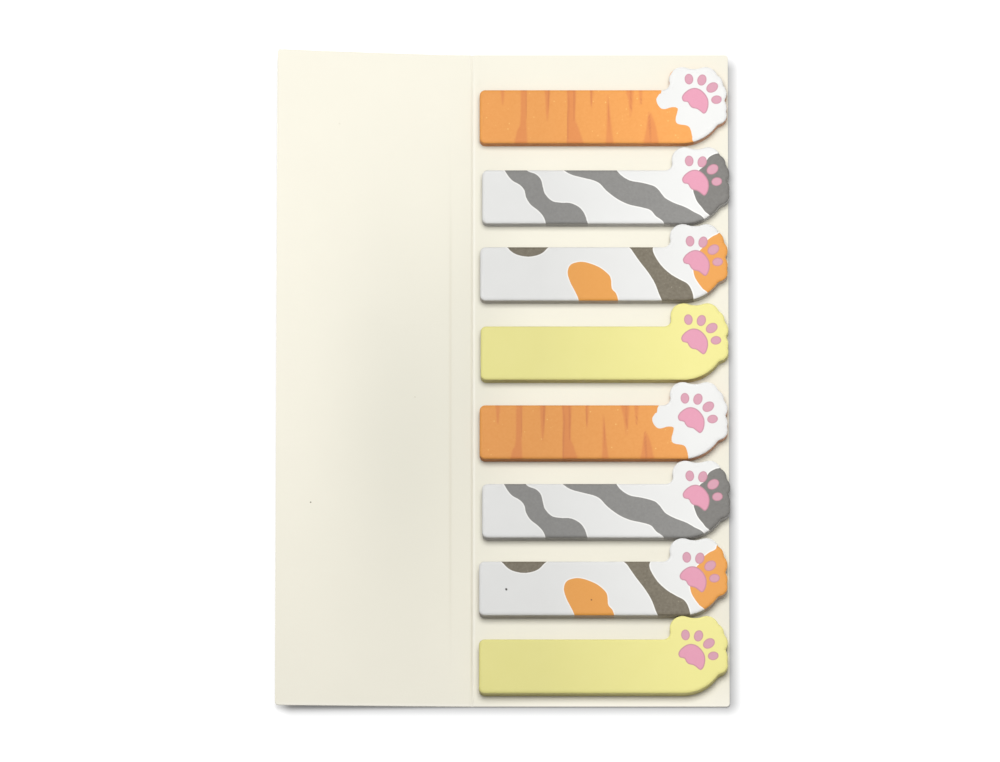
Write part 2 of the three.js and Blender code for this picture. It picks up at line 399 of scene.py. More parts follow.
# Pale flecks in a coat: their pitch, the share of it where one is full and gone, the size of the zones
# that have them, and the noise where a zone begins and is full
FLECK_PITCH = 1.316
FLECK_FULL, FLECK_GONE = 0.08, 0.16
FLECK_ZONE = 2.326
ZONE_START, ZONE_FULL = 0.45, 0.58
# The cut side: its streaks' size and stretch along the sheets, and how much of the print they hide
CUT_STREAK = 0.1111
CUT_STRETCH = 50
CUT_COVER = 0.75


def print_mask(tree, coordinates, attribute, softness):
    """1 inside a printed shape: the stored depth inside it, roughened by the paper, cut at nought."""
    depth = add_node(tree, "ShaderNodeAttribute", (), {"attribute_name": attribute}, "Fac")
    ragged = add_node(tree, "ShaderNodeTexNoise", {
        "Vector": coordinates, "Scale": pattern_scale(EDGE_WANDER_SIZE), "Detail": 2.0})
    pushed = add_node(tree, "ShaderNodeMath", {0: ragged, 1: EDGE_WANDER, 2: depth},
                      {"operation": "MULTIPLY_ADD"})
    return add_node(tree, "ShaderNodeMapRange", {
        "Value": pushed, "From Min": EDGE_WANDER / 2 - softness, "From Max": EDGE_WANDER / 2 + softness},
        SOFT_STEP)


def fleck_mask(tree, coordinates):
    """1 in tiny dots, one to each cell of a pattern, kept only where a coarser noise is high."""
    cells = add_node(tree, "ShaderNodeTexVoronoi", {
        "Vector": coordinates, "Scale": pattern_scale(FLECK_PITCH)}, output="Distance")
    zones = add_node(tree, "ShaderNodeTexNoise", {
        "Vector": coordinates, "Scale": pattern_scale(FLECK_ZONE), "Detail": 1.0})
    dots = add_node(tree, "ShaderNodeMapRange", {
        "Value": cells, "From Min": FLECK_GONE, "From Max": FLECK_FULL}, SOFT_STEP)
    kept = add_node(tree, "ShaderNodeMapRange", {
        "Value": zones, "From Min": ZONE_START, "From Max": ZONE_FULL}, SOFT_STEP)
    return add_node(tree, "ShaderNodeMath", {0: dots, 1: kept}, {"operation": "MULTIPLY"})


def printed_paper(name, sheet, inks, cut, specks=(), flecks=None):
    """Smooth offset-printed paper with a faint sheen, die-cut in a stack: each ink is laid over the ones
    before it with a fine grain, the cut side shows the sheets' own tone in thin streaks, and the stored
    tone, with its painted light rising towards the paw, scales it all."""
    material, tree, shader, coordinates = new_material(name, roughness=0.6, specular=0.25)
    cloud = add_node(tree, "ShaderNodeTexNoise", {
        "Vector": coordinates, "Scale": pattern_scale(SHEET_CLOUD), "Detail": 3.0})
    colour = add_node(tree, "ShaderNodeMix", {"Factor": cloud, BELOW: seen(sheet[0]), ABOVE: seen(sheet[1])},
                      COLOUR_MIX, MIXED)
    grain = add_node(tree, "ShaderNodeTexNoise", {
        "Vector": coordinates, "Scale": pattern_scale(INK_GRAIN), "Detail": 2.0})
    for attribute, softness, dark, light in inks:
        ink = add_node(tree, "ShaderNodeMix", {"Factor": grain, BELOW: seen(dark), ABOVE: seen(light)},
                       COLOUR_MIX, MIXED)
        mask = print_mask(tree, coordinates, attribute, softness)
        colour = add_node(tree, "ShaderNodeMix", {"Factor": mask, BELOW: colour, ABOVE: ink},
                          COLOUR_MIX, MIXED)
        if flecks and attribute == "coat":
            dots = add_node(tree, "ShaderNodeMath", {0: mask, 1: fleck_mask(tree, coordinates)},
                            {"operation": "MULTIPLY"})
            colour = add_node(tree, "ShaderNodeMix", {"Factor": dots, BELOW: colour, ABOVE: seen(flecks)},
                              COLOUR_MIX, MIXED)
    colour = add_specks(tree, coordinates, colour, specks)
    layers = add_node(tree, "ShaderNodeMapping", {
        "Vector": coordinates, "Scale": (1 / CUT_STRETCH, 1 / CUT_STRETCH, 1.0)})
    streaks = add_node(tree, "ShaderNodeTexNoise", {
        "Vector": layers, "Scale": pattern_scale(CUT_STREAK), "Detail": 1.0})
    raw = add_node(tree, "ShaderNodeMix", {"Factor": streaks, BELOW: seen(cut[0]), ABOVE: seen(cut[1])},
                   COLOUR_MIX, MIXED)
    side = add_node(tree, "ShaderNodeAttribute", (), {"attribute_name": "cut_side"}, "Fac")
    amount = add_node(tree, "ShaderNodeMath", {0: side, 1: CUT_COVER}, {"operation": "MULTIPLY"})
    colour = add_node(tree, "ShaderNodeMix", {"Factor": amount, BELOW: colour, ABOVE: raw},
                      COLOUR_MIX, MIXED)
    # The pad's own tone times painted light rising towards the paw
    tone = add_node(tree, "ShaderNodeAttribute", (), {"attribute_name": "tone_and_painted_light"}, "Fac")
    colour = add_node(tree, "ShaderNodeVectorMath", {0: colour, "Scale": tone}, {"operation": "SCALE"})
    tree.links.new(colour, shader.inputs["Base Color"])
    fibre_bump(tree, shader, coordinates, PAPER_FIBRE, depth=0.01, strength=0.2)
    return material


# The four papers. An ink is the stored depth that it is cut from, half its soft edge, and its two tones
WHITE_SHEET = ("#e1e1df", "#e5e5e3")
BARE_MARGIN = ("print_rim", 0.12, "#f0efeb", "#f5f4f0")
BEAN_INKS = [
    ("bean_rim", 0.10, "#b9808f", "#c08796"),
    ("bean", 0.15, "#da94ab", "#de9bb1"),
    ("toe", 0.15, "#cd96a7", "#d29dad"),
]
PAPERS = {
    "orange": {
        "name": "tabby_print_paper",
        "sheet": WHITE_SHEET,
        "inks": [("coat", 0.05, "#e59747", "#eca355"), ("stripes", 0.3, "#dd8846", "#e18f4c"),
                 ("streaks", 0.2, "#cd7a43", "#d58247")] + BEAN_INKS,
        "cut": ("#d58f5e", "#f5ac72"),
        "flecks": "#f3b968",
    },
    "grey": {
        "name": "grey_band_print_paper",
        "sheet": WHITE_SHEET,
        "inks": [BARE_MARGIN, ("coat", 0.05, "#7d7c79", "#8f8e8b"),
                 ("half_paw", 0.05, "#6e6c68", "#82807c")] + BEAN_INKS,
        "cut": ("#c0bdb9", "#e4e2df"),
    },
    "calico": {
        "name": "calico_print_paper",
        "sheet": WHITE_SHEET,
        "inks": [BARE_MARGIN, ("coat", 0.05, "#605849", "#88806f"), ("patches", 0.05, "#e39b45", "#e7a14e"),
                 ("half_paw", 0.05, "#e29a47", "#e5a04f")] + BEAN_INKS,
        "cut": ("#bcb2a8", "#e2dbd2"),
        "specks": CALICO_SPECKS,
        "flecks": "#948b78",
    },
    "yellow": {
        "name": "yellow_print_paper",
        "sheet": ("#e6df8d", "#e9e293"),
        "inks": BEAN_INKS,
        "cut": ("#cfc48a", "#efe5a4"),
        "specks": YELLOW_SPECKS,
    },
}


# Meshes

def mesh_object(name, points, faces, attributes, sharp_degrees):
    """A smooth-shaded object at the origin from points in millimetres, polygons and float attributes on
    the points. Edges that turn by more than the angle stay crisp."""
    mesh = bpy.data.meshes.new(name)
    mesh.from_pydata((points * MM).tolist(), [], faces)
    for key, values in attributes.items():
        layer = mesh.attributes.new(key, "FLOAT", "POINT")
        layer.data.foreach_set("value", np.ascontiguousarray(values, np.float32))
    mesh.shade_smooth()
    mesh.set_sharp_from_angle(angle=math.radians(sharp_degrees))
    piece = bpy.data.objects.new(name, mesh)
    bpy.context.collection.objects.link(piece)
    return piece


def grid_quads(rows, columns, closed=False):
    """Quads of a grid of points told row by row, joined round its columns where it is closed."""
    across = columns if closed else columns - 1
    row, column = np.meshgrid(np.arange(rows - 1), np.arange(across), indexing="ij")
    following = (column + 1) % columns
    a, b = row * columns + column, row * columns + following
    return np.stack([a, b, b + columns, a + columns], -1).reshape(-1, 4)


# The folded card

# Its grid: columns of the plain sheet, rows, points round a corner, and points across a crease
PLAIN_COLUMNS = 150
CARD_ROWS = 190
CORNER_POINTS = 9
CREASE_POINTS = 25
CREASE_REACH = 0.9

# The pressed creases: width, depths, and the lips beside them, placed in widths, as a share of the depth
CREASE_WIDTH = 0.22
COVER_CREASE_DEPTH = 0.03
BACK_CREASE_DEPTH = 0.09
LIP_PLACE = 1.9
LIP_SHARE = 0.25

# Shares of the way up the card: where the cover's crease shows, and the stretch that the back one keeps
COVER_CREASE_MIDDLE, COVER_CREASE_SPAN = 0.45, 0.3
BACK_CREASE_MIDDLE, BACK_CREASE_SPAN = 0.5, 0.475

# Painted marks: the creases' lines of painted shade, the painted highlight beside the back crease and along
# the low edge, and how the back line fades upwards
BACK_LINE_WIDTH = 0.2
BACK_LINE_FADE = 0.5
COVER_LINE_WIDTH = 0.3
COVER_LINE = 0.5
HIGHLIGHT_LIP = 0.6
HIGHLIGHT_LIP_OFFSET = 0.5
HIGHLIGHT_LIP_WIDTH = 0.22
LOW_EDGE_HIGHLIGHT_WIDTH = 0.35
# Patches of painted shade by the spine: strength, place across and up from the card's middle, and their
# widths
SHADE_PATCHES = [(0.55, -21.6, -11, 15, 48), (0.33, -4.6, 8, 9, 50)]
# Painted light at the low end: strength, height, and where it begins and over what run it grows across
LOW_END_LIGHT = 0.25
LOW_END_LIGHT_HEIGHT = 5
LOW_END_LIGHT_START, LOW_END_LIGHT_RUN = -5, 20

# The cover's faint sway up the card: depth, pitch, and the angle that it starts at
SWAY_DEPTH = 0.05
SWAY_PITCH = 61
SWAY_START = 0.9


def bell(distance, width, power=2):
    """A bell curve: 1 at nought and e to the minus one at the width, squarer with a higher even power."""
    return np.exp(-(distance / width) ** power)


def cover_share(along):
    """The share of the cover's width from its crease to a distance along the card: nought past it."""
    return np.clip((COVER_CREASE - along) / COVER_WIDTH, 0, 1)


def spine_share(along):
    """The share of the spine's width from the back crease to a distance along the card."""
    return np.clip((BACK_CREASE - along) / SPINE_WIDTH, 0, 1)


def card_height(along, up):
    """The card's rise: nought on the back panel, straight over the spine, and over the cover the lift of
    its free edge times the share of the cover's width, raised to the bow. The lift grows up the card."""
    rise = cover_lift(up / CARD_LENGTH) - SPINE_LIFT
    return SPINE_LIFT * spine_share(along) + rise * cover_share(along) ** COVER_BOW


def card_column(along, up):
    """Where a point of the flat sheet comes to lie across the card: the tilted spine and cover take the
    run that is left of their width by their rise."""
    cover_run = np.sqrt(COVER_WIDTH ** 2 - (cover_lift(up / CARD_LENGTH) - SPINE_LIFT) ** 2)
    back = np.maximum(along - BACK_CREASE, 0)
    return BACK_CREASE_X + back - spine_share(along) * SPINE_RUN - cover_share(along) * cover_run


def crease_dent(distance, depth):
    """A pressed crease: a round dent between two low lips, by two bell curves."""
    lips = bell(np.abs(distance) - LIP_PLACE * CREASE_WIDTH, CREASE_WIDTH)
    return depth * bell(distance, CREASE_WIDTH) - LIP_SHARE * depth * lips


def flat_grid():
    """Distance along the flat card and distance up it, on a grid that is closer at its corners and
    creases, and each row's share of the way up. Beside the ends the round corners shorten the columns."""
    corner = CARD_CORNER * (1 - np.cos(np.linspace(0, math.pi / 2, CORNER_POINTS)))
    near = np.linspace(-CREASE_REACH, CREASE_REACH, CREASE_POINTS)
    plain = np.linspace(corner[-1], CARD_WIDTH - corner[-1], PLAIN_COLUMNS)
    along = np.unique(np.round(np.concatenate([
        corner, CARD_WIDTH - corner, plain, COVER_CREASE + near, BACK_CREASE + near]), 4))
    inside = np.clip(CARD_CORNER - np.minimum(along, CARD_WIDTH - along), 0, CARD_CORNER)
    inset = (CARD_CORNER - np.sqrt(CARD_CORNER ** 2 - inside ** 2))[:, None]
    share = np.linspace(0, 1, CARD_ROWS)[None, :]
    up = inset + (CARD_LENGTH - 2 * inset) * share
    return np.broadcast_to(along[:, None], up.shape), up, share


def card_marks(x, along, up, share):
    """The strength of each mark of painted shade and painted light on the card's upper face, by products of
    bell curves.
    """
    cover_part = bell(share - COVER_CREASE_MIDDLE, COVER_CREASE_SPAN, 4)
    back_part = bell(share - BACK_CREASE_MIDDLE, BACK_CREASE_SPAN, 16)
    back_line = bell(along - BACK_CREASE, BACK_LINE_WIDTH) * back_part * (1 - BACK_LINE_FADE * share)
    cover_line = COVER_LINE * bell(along - COVER_CREASE, COVER_LINE_WIDTH) * cover_part
    back_lip = bell(along - BACK_CREASE - HIGHLIGHT_LIP_OFFSET, HIGHLIGHT_LIP_WIDTH) * back_part
    return {
        # Painted shade in the creases
        "crease_shade": back_line + cover_line,
        # Painted highlight beside the back crease and along the low edge
        "painted_highlight": HIGHLIGHT_LIP * (back_lip + bell(up, LOW_EDGE_HIGHLIGHT_WIDTH)),
        # Painted shade by the spine
        "painted_shade": sum(strength * bell(x - across, width) * bell(up - CARD_LENGTH / 2 - above, height)
                       for strength, across, above, width, height in SHADE_PATCHES),
        # Painted light by the low end
        "painted_light": LOW_END_LIGHT * bell(up, LOW_END_LIGHT_HEIGHT) * np.clip((x - LOW_END_LIGHT_START) / LOW_END_LIGHT_RUN, 0, 1),
    }


def make_card():
    """The card is one closed sheet: its upper face is the lower one raised by the thickness and pressed in
    at the creases, and a wall joins their rims. Its cut sides and underside get full painted light."""
    along, up, share = flat_grid()
    x = card_column(along, up)
    y = CARD_LOW[1] + up
    cover = cover_share(along)
    sway = np.sin(math.pi * cover) ** 2 * np.sin(2 * math.pi * up / SWAY_PITCH + SWAY_START)
    base = card_height(along, up) + SWAY_DEPTH * cover * sway
    dents = (crease_dent(along - COVER_CREASE, COVER_CREASE_DEPTH)
             * bell(share - COVER_CREASE_MIDDLE, COVER_CREASE_SPAN, 4)
             + crease_dent(along - BACK_CREASE, BACK_CREASE_DEPTH))
    upper = np.stack([x, y, base + CARD_THICKNESS - dents], -1).reshape(-1, 3)
    lower = np.stack([x, y, base], -1).reshape(-1, 3)
    rows, columns = up.shape
    count = rows * columns
    index = np.arange(count).reshape(rows, columns)
    top = grid_quads(rows, columns)
    rim = np.concatenate([index[:-1, 0], index[-1, :-1], index[:0:-1, -1], index[0, :0:-1]])
    after = np.roll(rim, -1)
    wall = np.stack([rim, rim + count, after + count, after], -1)
    faces = np.concatenate([top[:, ::-1], top + count, wall[:, ::-1]])
    # The lower face gets full painted light, which lightens the cut sides
    marks = {key: np.append(mark, np.full(count, 1.0 if key == "painted_light" else 0.0))
             for key, mark in card_marks(x, along, up, share).items()}
    card = mesh_object("card_sheet", np.concatenate([upper, lower]), faces.tolist(), marks, 40)
    card.data.materials.append(cream_board())
    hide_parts("folded_card")
    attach(card, "root")


# The tab pads' outline

# The gap between points, and the gap under which two arcs touch
OUTLINE_SPACING = 0.34
TOUCHING = 1e-6


def direction(start, end):
    """The angle of the way from one point to another."""
    return math.atan2(end[1] - start[1], end[0] - start[0])


def hollow_centre(lobe, following, radius):
    """The centre of a circle that touches two lobes from outside, from the two distances to them."""
    to_lobe, to_next = lobe[2] + radius, following[2] + radius
    span = following[:2] - lobe[:2]
    distance = np.hypot(*span)
    along = (distance ** 2 + to_lobe ** 2 - to_next ** 2) / (2 * distance)
    aside = math.sqrt(to_lobe ** 2 - along ** 2)
    outward = np.array([span[1], -span[0]]) / distance
    return lobe[:2] + span * along / distance + outward * aside


def tab_arcs():
    """The arcs of the die-cut outline, anticlockwise: centre, radius, 1 for a lobe or -1 for a hollow, and
    the angles where it begins and ends. Each lobe touches the hollows before and after it."""
    lobes = [np.array([PAD_LENGTH - back * PAW_HEIGHT, up * PAW_HEIGHT, radius * PAW_HEIGHT])
             for _, back, up, radius, _ in PAW_LOBES]
    hollows = [hollow * PAW_HEIGHT for *_, hollow in PAW_LOBES[:-1]]
    toe = lobes[-1]
    reach = toe[2] + JUNCTION_FILLET
    rise = STRIP_WIDTH + JUNCTION_FILLET
    junction = np.array([toe[0] - math.sqrt(reach ** 2 - (toe[1] - rise) ** 2), rise])
    arcs = [(np.full(2, STRIP_CORNER), STRIP_CORNER, 1, math.pi, 1.5 * math.pi)]
    start = -0.5 * math.pi
    for index, lobe in enumerate(lobes):
        last = index == len(lobes) - 1
        radius = JUNCTION_FILLET if last else hollows[index]
        centre = junction if last else hollow_centre(lobe, lobes[index + 1], radius)
        target = np.array([junction[0], STRIP_WIDTH]) if last else lobes[index + 1][:2]
        arcs.append((lobe[:2], lobe[2], 1, start, direction(lobe, centre)))
        arcs.append((centre, radius, -1, direction(centre, lobe), direction(centre, target)))
        start = direction(target, centre)
    top_corner = np.array([STRIP_CORNER, STRIP_WIDTH - STRIP_CORNER])
    arcs.append((top_corner, STRIP_CORNER, 1, 0.5 * math.pi, math.pi))
    return arcs


def straight_edge(start, end, normal):
    """The points between the ends of a straight edge, and their normals."""
    steps = max(2, math.ceil(np.hypot(*(end - start)) / OUTLINE_SPACING))
    shares = np.linspace(0, 1, steps + 1)[1:-1, None]
    return start + shares * (end - start), np.broadcast_to(normal, (steps - 1, 2))


def tab_outline():
    """The outline as points and outward normals: the arcs, joined by straight edges where they do not
    touch, with points about one spacing apart."""
    points, normals = [], []
    for centre, radius, turn, begin, end in tab_arcs():
        sweep = turn * (((end - begin) * turn) % (2 * math.pi))
        steps = max(3, math.ceil(abs(sweep) * radius / OUTLINE_SPACING))
        angles = begin + sweep * np.linspace(0, 1, steps + 1)
        spokes = np.stack([np.cos(angles), np.sin(angles)], -1)
        arc = centre + radius * spokes
        if points and np.hypot(*(arc[0] - points[-1][-1])) > TOUCHING:
            edge, edge_normals = straight_edge(points[-1][-1], arc[0], normals[-1][-1])
            points.append(edge)
            normals.append(edge_normals)
        elif points:
            arc, spokes = arc[1:], spokes[1:]
        points.append(arc)
        normals.append(turn * spokes)
    edge, edge_normals = straight_edge(points[-1][-1], points[0][0], normals[-1][-1])
    return np.concatenate(points + [edge]), np.concatenate(normals + [edge_normals])


OUTLINE, NORMALS = tab_outline()


# The tab pads' surface

# The middle line that the top face closes on: level along the strip, then up to the paw's middle
LINE_START = 5.0
LINE_BEND = 30.0
PAW_START = 39.0
PAW_MIDDLE = (45.2, 8.7)
# The top face's rings, as shares of the way to the middle line: even steps to the first, then the last two
TOP_RINGS = 30
EVEN_REACH = 0.968
LAST_RINGS = (0.988, 0.997)
ROLL_RINGS = 8
# Keeps the smooth outline within the facets of the solid
EDGE_TRIM = 0.02
# The cut side: how far the sheets stand apart, less towards the top, and the groove under each sheet, with
# the shares of a sheet's thickness where its face begins and ends
SHEET_SPREAD = 0.05
TOP_SPREAD = 0.2
GROOVE_DEPTH = 0.03
FACE_START, FACE_END = 0.25, 0.8


def middle_line(x):
    """The point of the middle line for each point of the outline: the line is passed through faster
    past the bend, so that the whole paw closes on its own middle."""
    past = np.clip((x - LINE_BEND) / (PAW_START - LINE_BEND), 0, 1)
    beyond_bend = LINE_BEND + past * (PAW_MIDDLE[0] - LINE_BEND)
    line_x = np.where(x < LINE_BEND, np.maximum(x, LINE_START), beyond_bend)
    line_y = STRIP_WIDTH / 2 + past * (PAW_MIDDLE[1] - STRIP_WIDTH / 2)
    return np.stack([line_x, line_y], -1)


def pad_profile(seed):
    """The cut side from the card up: inset and height of each ring. Each sheet has its own small inset
    and a groove to the next, and the upper ones roll over on a quarter ellipse."""
    spread = np.random.default_rng(seed)
    wall_sheets = int((PAD_THICKNESS - ROLL_DROP) / SHEET_THICKNESS)
    own = SHEET_SPREAD * spread.random(wall_sheets) * np.linspace(1, TOP_SPREAD, wall_sheets)
    base = np.arange(wall_sheets) * SHEET_THICKNESS
    face_start, face_end = base + FACE_START * SHEET_THICKNESS, base + FACE_END * SHEET_THICKNESS
    inset = np.stack([own + GROOVE_DEPTH, own, own], -1).ravel()
    height = np.stack([base, face_start, face_end], -1).ravel()
    turn = np.linspace(0, math.pi / 2, ROLL_RINGS + 1)
    inset = EDGE_TRIM + np.concatenate([inset, ROLL_INWARD * (1 - np.cos(turn))])
    height = np.concatenate([height, PAD_THICKNESS - ROLL_DROP * (1 - np.sin(turn))])
    return inset, height


def pad_rings(seed):
    """The pad's rings: the outline pulled in along its normals up the profile, then straight lines from
    the end of the roll to the middle line. Gives the rings, and 1 for each point of the cut side."""
    inset, height = pad_profile(seed)
    side = OUTLINE[None] - inset[:, None, None] * NORMALS[None]
    side = np.concatenate([side, np.broadcast_to(height[:, None, None], side.shape[:2] + (1,))], -1)
    share = np.append(np.linspace(0, EVEN_REACH, TOP_RINGS + 1)[1:], LAST_RINGS)[:, None, None]
    top = side[-1:, :, :2] * (1 - share) + middle_line(OUTLINE[:, 0])[None] * share
    top = np.concatenate([top, np.full(top.shape[:2] + (1,), PAD_THICKNESS)], -1)
    rings = np.concatenate([side, top])
    cut = np.zeros(len(rings))
    cut[:len(inset) - ROLL_RINGS] = 1.0
    return rings, np.repeat(cut, rings.shape[1])


def top_cap(first):
    """Closes the innermost ring, whose points start at a number. Along the strip its lower and upper chain
    are zipped together in the order of their points along the middle line; the paw is one polygon."""
    strip_end = OUTLINE[:, 0] > PAW_START
    turn_out, turn_back = np.argmax(strip_end), len(OUTLINE) - 1 - np.argmax(strip_end[::-1])
    lower = np.arange(turn_out + 1)
    upper = np.arange(len(OUTLINE) - 1, turn_back - 1, -1)
    low_key, high_key = (np.maximum(OUTLINE[chain, 0], LINE_START) for chain in (lower, upper))
    facing_up = upper[np.searchsorted(high_key[1:], low_key[1:], "left")]
    facing_down = lower[np.searchsorted(low_key[1:], high_key[1:], "right")]
    triangles = np.concatenate([
        np.stack([lower[:-1], lower[1:], facing_up], -1),
        np.stack([upper[:-1], facing_down, upper[1:]], -1)])
    return (first + triangles).tolist(), (first + np.arange(turn_out, turn_back + 1)).tolist()


# Prints, in millimetres from the strip's left end and straight edge. Each shape is a closed curve through
# a few listed points, and where it runs off the sheet the points lie outside it

CURVE_STEPS = 6
OVAL_POINTS = 28


def smooth_loop(points):
    """A closed curve through given points, by the Catmull-Rom formula."""
    p = np.array(points, float)
    t = np.linspace(0, 1, CURVE_STEPS, endpoint=False)[:, None]
    before, after, beyond = np.roll(p, 1, 0), np.roll(p, -1, 0), np.roll(p, -2, 0)
    spans = [0.5 * (2 * b + (c - a) * t + (2 * a - 5 * b + 4 * c - d) * t ** 2
                    + (3 * b - a - 3 * c + d) * t ** 3)
             for a, b, c, d in zip(before, p, after, beyond)]
    return np.concatenate(spans)


def oval(x, y, half_width, half_height, tilt):
    """An ellipse of points about a centre, turned by a tilt in degrees."""
    t = np.linspace(0, 2 * math.pi, OVAL_POINTS, endpoint=False)
    turn = math.radians(tilt)
    along, across = half_width * np.cos(t), half_height * np.sin(t)
    return np.stack([x + along * math.cos(turn) - across * math.sin(turn),
                     y + along * math.sin(turn) + across * math.cos(turn)], -1)


def depth_inside(points, loop):
    """How deep each point lies inside a closed outline, negative outside it: the distance to the nearest
    side, with its sign from the number of sides that a ray crosses."""
    best = np.full(len(points), np.inf)
    crossings = np.zeros(len(points), bool)
    for a, b in zip(loop, np.roll(loop, -1, 0)):
        side = b - a
        share = np.clip((points - a) @ side / max(side @ side, 1e-12), 0, 1)
        best = np.minimum(best, np.hypot(*(points - a - share[:, None] * side).T))
        spans = (a[1] > points[:, 1]) != (b[1] > points[:, 1])
        if side[1]:
            crossings ^= spans & (points[:, 0] < a[0] + side[0] * (points[:, 1] - a[1]) / side[1])
    return np.where(crossings, best, -best)


def deepest(points, loops):
    """The depth inside the union of some outlines."""
    return np.max([depth_inside(points, loop) for loop in loops], axis=0)


TOE_BEANS = [
    oval(44.14, 13.43, 0.92, 1.2, 4),
    oval(46.9, 13.23, 0.97, 1.27, -14),
    oval(49.1, 11.55, 1.36, 1.05, 38),
    oval(50.0, 8.8, 1.14, 0.95, 12),
]
PALM_BEAN = smooth_loop([
    (42.66, 9.5), (43.19, 10.35), (44.25, 11.17), (45.3, 11.45), (46.4, 11.17), (47.4, 10.33), (48.1, 9.2),
    (48.32, 8.1), (48.2, 6.98), (47.8, 6.0), (47.25, 5.66), (46.6, 6.14), (45.85, 6.7), (44.8, 6.98),
    (44.25, 7.54), (43.86, 8.24), (43.05, 8.38), (42.7, 8.85)])

# Orange tabby: the coloured coat ends in a ragged edge before the white paw
TABBY_COAT = [
    [(-4, -4), (-4, 20), (38.2, 20), (38.3, 11.2), (37.75, 10.0), (37.2, 8.95), (37.45, 7.8), (38.2, 6.85),
     (39.1, 6.7), (40.3, 7.1), (41.35, 7.1), (41.75, 6.75), (41.6, 5.8), (41.3, 4.6), (41.45, 3.65),
     (42.2, 3.25), (43.3, 3.1), (44.1, 2.75), (44.5, 1.95), (44.75, 0.85), (44.85, -0.3), (44.6, -4)],
]
TABBY_STRIPES = [
    [(3.9, 14), (4.9, 14), (4.75, 9.5), (4.4, 7.7), (4.1, 9.5)],
    [(8.4, 14), (9.6, 14), (9.45, 5), (9.5, -3), (6.9, -3), (7.4, 1.5), (8.2, 4)],
    [(13.4, 14), (14.5, 14), (14.3, 7), (13.95, 4.0), (13.6, 7)],
    [(18.1, 14), (20.0, 14), (19.9, 5), (20.6, 2.5), (21.9, -3), (18.3, -3), (18.4, 5)],
    [(23.0, 14), (23.8, 14), (23.6, 9), (23.4, 6.7), (23.2, 9)],
    [(26.75, 9.6), (27.15, 7.5), (27.6, 3), (28.1, -3), (26.5, -3), (26.6, 3)],
    [(30.3, 14), (32.3, 14), (32.2, 9), (31.7, 4.8), (31.2, 8.5)],
    [(33.4, 14), (34.3, 14), (34.1, 9.3), (33.8, 7.5), (33.6, 9)],
    [(35.6, 6.1), (36.5, 4.6), (37.3, 1.5), (37.6, -3), (34.4, -3), (35.0, 2)],
]

# Thin dark hairs along the stripes
TABBY_STREAKS = [
    [(9.2, 14), (9.5, 9), (9.45, 4.5), (9.3, 9)],
    [(14.2, 14), (14.45, 11), (14.0, 4.6), (14.05, 9.5)],
    [(18.1, 14), (18.6, 9), (18.5, 3), (18.3, -3), (18.15, 4), (18.3, 9)],
    [(19.5, 13), (19.9, 9), (19.6, 4), (19.5, 9)],
    [(23.2, 14), (23.4, 10), (23.35, 7.2), (23.1, 10)],
    [(26.9, 9.2), (27.1, 6), (27.3, 1), (26.95, 5)],
    [(31.5, 14), (31.9, 9.5), (31.8, 5.2), (31.55, 9.5)],
    [(33.8, 9.6), (34.1, 8.6), (33.9, 7.5)],
    [(35.6, 6), (36.0, 3.6), (36.1, -2), (35.5, 3)],
]

# White with grey bands along the strip, and a grey half of the paw
GREY_BANDS = [
    [(3.9, 14), (8.6, 14), (9.5, 11.4), (11.5, 10.43), (12.54, 9.25), (13.0, 7.46), (13.45, 6.0),
     (14.9, 4.47), (16.8, 4.07), (18.7, 4.0), (20.4, 3.26), (21.55, 2.05), (22.3, 0.1), (22.6, -3),
     (13.8, -3), (13.58, -0.54), (13.0, 1.07), (11.88, 2.37), (10.35, 3.66), (9.41, 5.25), (9.03, 6.86),
     (8.08, 8.04), (6.57, 8.96), (5.6, 10.05), (4.76, 11.55)],
    [(15.6, 13.5), (27.6, 14), (28.6, 11.6), (29.6, 10.26), (31.5, 9.05), (34, 8.56), (36.5, 7.84),
     (37.6, 6.95), (38.4, 5.85), (39.1, 5.05), (40.8, 4.07), (43.3, 3.06), (45.0, 2.05), (47.2, 0.6),
     (48.5, -3), (39.6, -3), (38.7, -0.34), (37.0, 1.07), (35.9, 2.37), (34.2, 2.97), (31.3, 3.66),
     (28.9, 4.85), (26.6, 6.66), (25.2, 8.24), (23.8, 9.05), (21.2, 9.74), (18.9, 10.43), (17.2, 11.6)],
]
GREY_HALF_PAW = [
    [(50.6, 15.3), (49.5, 14.95), (48.2, 14.1), (47.4, 12.45), (46.9, 11.9), (46.3, 11.4), (45.0, 9.2),
     (44.95, 7.0), (45.25, 5.75), (45.8, 4.35), (46.85, 2.96), (48.2, 1.5), (53, -1), (57, 8), (54, 16),
     (51.3, 16.4)],
]

# Calico: dark patches, an orange one, and an orange half of the paw
CALICO_DARK = [
    [(5.1, 13.5), (14.3, 13.5), (13.7, 11.8), (12.2, 10.5), (9.7, 9.95), (7.1, 10.5), (5.5, 11.8)],
    [(30.4, 13.5), (36.3, 14), (36.2, 11.65), (36.7, 10.07), (38.1, 7.88), (40.0, 6.07), (41.9, 4.88),
     (43.6, 3.88), (44.5, 2.29), (44.9, 0.28), (45.0, -3), (38.9, -3), (38.3, -0.32), (37.5, 1.69),
     (36.6, 4.08), (35.2, 6.47), (33.3, 9.06), (31.6, 11.65)],
]
CALICO_ORANGE = [
    [(18.1, 6.67), (18.5, 7.9), (19.6, 8.6), (21.7, 8.77), (24.7, 7.67), (26.7, 6.07), (27.3, 4.88),
     (27.5, 2.87), (28.4, 1.69), (28.9, -0.12), (29.3, -3), (21.2, -3), (20.5, 0.08), (19.8, 1.89),
     (18.8, 3.88), (18.2, 5.6)],
]
